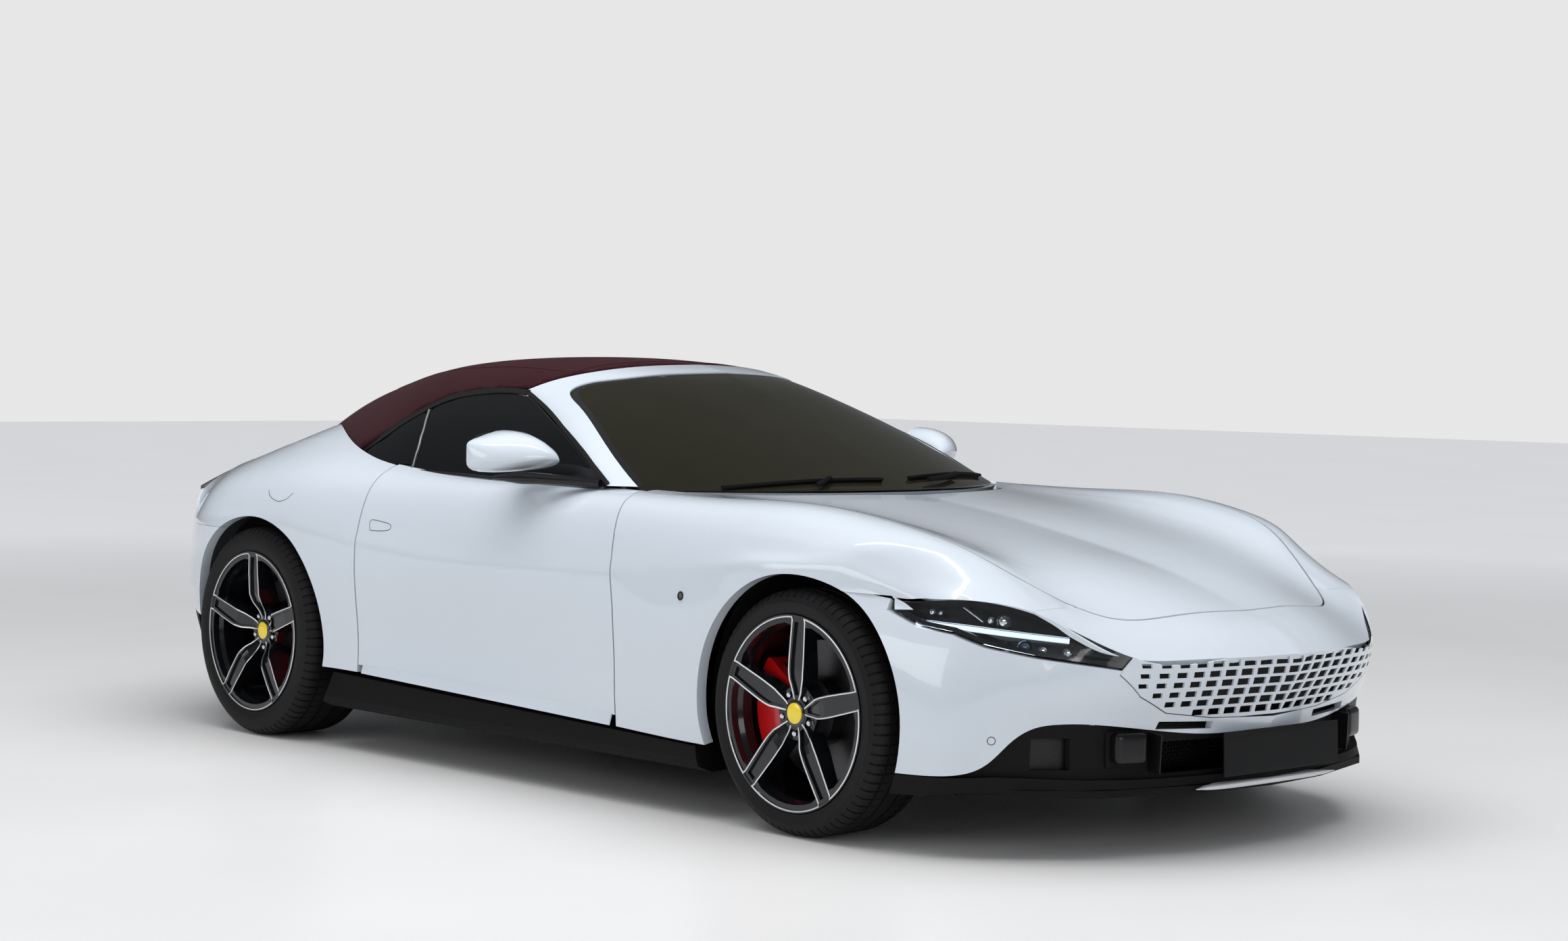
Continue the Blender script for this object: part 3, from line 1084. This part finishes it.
# The shell's side outline as (x, z); at its concave corners the inward side isn't the one facing its middle
SHELL = [(0.122, 0.378), (0.095, 0.425), (-0.325, 0.372), (-0.432, 0.465), (-0.595, 0.975), (-0.65, 1.055),
         (-0.694, 1.05), (-0.694, 1.0), (-0.562, 0.48), (-0.502, 0.312), (-0.385, 0.262), (0.098, 0.29)]
SHELL_CONCAVE = (2, 3, 8, 9)
shell_middle = Vector((sum(x for x, _ in SHELL) / len(SHELL), 0.55))
rows = []
SHELL_INSETS = ((-0.2285, 0.016), (-0.224, 0.006), (-0.214, 0.0), (0.0, -0.001), (0.214, 0.0), (0.224, 0.006),
                (0.2285, 0.016))
for off, inset in SHELL_INSETS:
    row = []
    for i, (x, z) in enumerate(SHELL):
        run = (Vector(SHELL[(i + 1) % len(SHELL)]) - Vector(SHELL[i - 1])).normalized()
        inward = Vector((-run.y, run.x))
        if inward.dot(shell_middle - Vector((x, z))) < 0 and i not in SHELL_CONCAVE:
            inward = -inward
        row.append((x + inward.x * inset, SEAT + off, z + inward.y * inset))
    rows.append(row)
seat_pieces += pair("seat_shell", rings(rows, caps=True), LEATHER_DARK, sharp=50)
rails = blocks(*[((0.4, 0.032, 0.06), (-0.2, SEAT + off, 0.232)) for off in (-0.15, 0.15)],
               ((0.3, 0.26, 0.022), (-0.18, SEAT, 0.262)), soft=0.3)
seat_pieces += pair("seat_rails", rails, PANEL)
bench = merged(block((0.225, 1.18, 0.05), (-0.875, 0, 0.452), turn=(0, 0.08, 0)),
               block((0.05, 1.18, 0.44), (-1.11, 0, 0.665), turn=(0, -0.06, 0)))
seat_pieces.append(piece("bench_shell", bench, LEATHER_DARK))
seat_pieces += pad("bench_cushion", (0.262, 0.1, 0.024), (-0.868, -0.292, 0.466), BENCH, 0.006,
                   ("u", (0.0,), 0.005), cap=0.006)
seat_pieces += pad("bench_back", (0.262, 0.185, 0.026), (-1.054, -0.292, 0.7), BENCH_BACK, 0.006,
                   ("v", (-0.06, 0.06), 0.005), cap=0.006)
for made in seat_pieces:
    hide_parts("seats")

# --- cabin: screens, vents, selector, pedals, steering wheel pad and controls ---
piece("instrument_screen", block((0.01, 0.27, 0.07), (0.313, 0.37, 0.868), turn=(0, 0.62, 0)), GLOSS_BLACK)
piece("centre_screen", block((0.01, 0.19, 0.12), (0.272, 0, 0.782), turn=(0, 0.14, 0)), GLOSS_BLACK)
VENT = [(0.036, 0.004), (0.037, -0.007), (0.033, -0.01), (0.029, -0.006), (0.028, 0.003), (0.01, 0.004),
        (0.009, -0.004), (0.001, -0.005)]
for k, y in enumerate((-0.6, -0.155)):
    pair(f"dash_vent_{k + 1}", turned(VENT, (0.276, y, 0.8), (1, 0, -0.19)), DARK_CHROME)
selector = merged(block((0.11, 0.062, 0.014), (0.03, 0, 0.606), turn=(0, 0.1, 0)),
                  block((0.022, 0.04, 0.026), (0.04, 0, 0.618), crown=0.002))
piece("selector", selector, DARK_CHROME)
pedals = blocks(((0.012, 0.07, 0.11), (0.64, 0.43, 0.33)), ((0.012, 0.055, 0.15), (0.65, 0.3, 0.3)),
                turn=(0, 0.45, 0))
piece("pedals", pedals, DARK_CHROME)
COLUMN = (0, 0.338, 0)
keys = blocks(*[((0.01, 0.034, 0.02), (0.176, y, 0.734)) for y in (0.29, 0.45)], turn=COLUMN)
hub = block((0.026, 0.12, 0.105), (0.184, 0.37, 0.731), turn=COLUMN, soft=0.42, crown=0.003)
wheel_pad = merged(hub, keys)
piece("steering_pad", wheel_pad, LEATHER_DARK, "steering_wheel")
for side, y in (("right", 0.255), ("left", 0.485)):
    paddle = block((0.008, 0.022, 0.11), (0.238, y, 0.735), turn=COLUMN)
    piece(f"shift_paddle_{side}", paddle, DARK_CHROME, "steering_wheel")

# --- doors: trim panel, armrest, pull, speaker ---
DOOR_STEPS = 24
EDGE_LIFT = 0.001
rows = []
for z, lift in ((0.345, 0.001), (0.35, 0.007), (0.48, 0.012), (0.56, 0.012), (0.6, 0.02), (0.64, 0.012),
                (0.76, 0.01), (0.845, 0.01), (0.862, 0.001)):
    line = [(0.47 - 1.08 * k / DOOR_STEPS, -0.78, z) for k in range(DOOR_STEPS + 1)]
    spots, _ = lay(door_skin, line, (0, -1, 0))
    lifts = [EDGE_LIFT] + [lift] * (DOOR_STEPS - 1) + [EDGE_LIFT]
    rows.append([tuple(s + Vector((0, up, 0))) for s, up in zip(spots, lifts)])
pair("door_card", rings(rows, closed_rows=False), PANEL, "door_")
arm = block((0.46, 0.062, 0.055), (-0.14, -0.757, 0.61), turn=(0, -0.05, 0), soft=0.45, crown=0.004)
pair("door_armrest", arm, LEATHER, "door_")
grip_line = along([(0.18, -0.775, 0.69), (0.14, -0.742, 0.72), (0.02, -0.738, 0.722), (-0.04, -0.775, 0.7)],
                  20)
pair("door_pull", tube(grip_line, 0.01, 12), DARK_CHROME, "door_")
SPEAKER = [(0.078, 0.0), (0.08, 0.007), (0.074, 0.01), (0.066, 0.006), (0.03, 0.004), (0.002, 0.0045)]
pair("door_speaker", turned(SPEAKER, (0.32, -0.79, 0.47), (0, 1, 0), 40), MESH, "door_")

# --- floor: a pale plane that glows a little in the distance ---
floor_mesh = bpy.data.meshes.new("floor")
floor_mesh.from_pydata([(-40, -40, 0), (40, -40, 0), (40, 40, 0), (-40, 40, 0)], [], [(0, 1, 2, 3)])
floor = bpy.data.objects.new("floor", floor_mesh)
scene.collection.objects.link(floor)
floor_look = look("floor", (0.66, 0.655, 0.65), 0.36, spread=0.02, scale=0.8, specular=0.35)
floor_tree = floor_look.node_tree
distance = floor_tree.nodes.new("ShaderNodeVectorMath")
distance.operation = "LENGTH"
floor_tree.links.new(floor_tree.nodes["Texture Coordinate"].outputs["Object"], distance.inputs[0])
glow = floor_tree.nodes.new("ShaderNodeMapRange")
settings(glow, {"From Min": 2.0, "From Max": 12.0, "To Min": 0.0, "To Max": 0.42})
floor_tree.links.new(distance.outputs["Value"], glow.inputs["Value"])
floor_shader = floor_tree.nodes["Principled BSDF"]
settings(floor_shader, {"Emission Color": (0.98, 0.98, 1.0, 1)})
floor_tree.links.new(glow.outputs["Result"], floor_shader.inputs["Emission Strength"])
floor_mesh.materials.append(floor_look)

# --- world: pale grey to the camera, dim in reflections, soft light for the rest ---
world = bpy.data.worlds.new("studio")
scene.world = world
world.use_nodes = True
nodes, links = world.node_tree.nodes, world.node_tree.links
soft = nodes["Background"]
settings(soft, {"Color": (0.9, 0.93, 0.98, 1), "Strength": 0.55})
backdrop = nodes.new("ShaderNodeBackground")
settings(backdrop, {"Color": (0.8, 0.8, 0.8, 1)})
dim = nodes.new("ShaderNodeBackground")
settings(dim, {"Color": (0.9, 0.93, 0.98, 1), "Strength": 0.15})
rays = nodes.new("ShaderNodeLightPath")
mirrored = nodes.new("ShaderNodeMixShader")
chooser = nodes.new("ShaderNodeMixShader")
for mix, ray, usual, other in ((mirrored, "Is Glossy Ray", soft.outputs["Background"], dim),
                               (chooser, "Is Camera Ray", mirrored.outputs["Shader"], backdrop)):
    links.new(rays.outputs[ray], mix.inputs["Fac"])
    links.new(usual, mix.inputs[1])
    links.new(other.outputs["Background"], mix.inputs[2])
links.new(chooser.outputs["Shader"], nodes["World Output"].inputs["Surface"])


# --- light and camera ---
def area_light(name, location, target, size, power, in_reflections=True):
    """A rectangular lamp that faces a target."""
    light = bpy.data.lights.new(name, "AREA")
    light.shape = "RECTANGLE"
    light.size, light.size_y = size
    light.energy = power
    obj = bpy.data.objects.new(name, light)
    obj.location = location
    obj.visible_glossy = in_reflections
    obj.rotation_euler = (Vector(target) - Vector(location)).to_track_quat("-Z", "Y").to_euler()
    scene.collection.objects.link(obj)


area_light("ceiling", (0.5, -0.5, 5.5), (0, 0, 0), (8, 6), 430, in_reflections=False)
area_light("tube", (1.5, -0.8, 5.0), (0.5, 0, 0), (5, 0.25), 30)
area_light("front_wall", (8.5, -3, 2.6), (1, 0, 0.5), (5, 2.2), 90)
area_light("side_wall", (-1, -8, 2.6), (0, 0, 0.5), (8, 2.4), 108)

CAMERA_PLACE = (7.0189, -6.2167, 1.3002)
HEADING, DOWN, ROLL = math.radians(137.268), math.radians(2.2654), math.radians(0.8725)
forward = Vector((math.cos(HEADING) * math.cos(DOWN), math.sin(HEADING) * math.cos(DOWN), -math.sin(DOWN)))
level_right = Vector((math.sin(HEADING), -math.cos(HEADING), 0))
level_up = level_right.cross(forward)
right = math.cos(ROLL) * level_right + math.sin(ROLL) * level_up
up = -math.sin(ROLL) * level_right + math.cos(ROLL) * level_up
lens = bpy.data.cameras.new("camera")
lens.lens = 65.59
lens.sensor_width = 36
lens.shift_x = -0.0039
lens.shift_y = 0.0022
camera = bpy.data.objects.new("camera", lens)
camera.matrix_world = Matrix((
    (right.x, up.x, -forward.x, CAMERA_PLACE[0]),
    (right.y, up.y, -forward.y, CAMERA_PLACE[1]),
    (right.z, up.z, -forward.z, CAMERA_PLACE[2]),
    (0, 0, 0, 1)))
scene.collection.objects.link(camera)
scene.camera = camera
scene.view_settings.view_transform = "Standard"
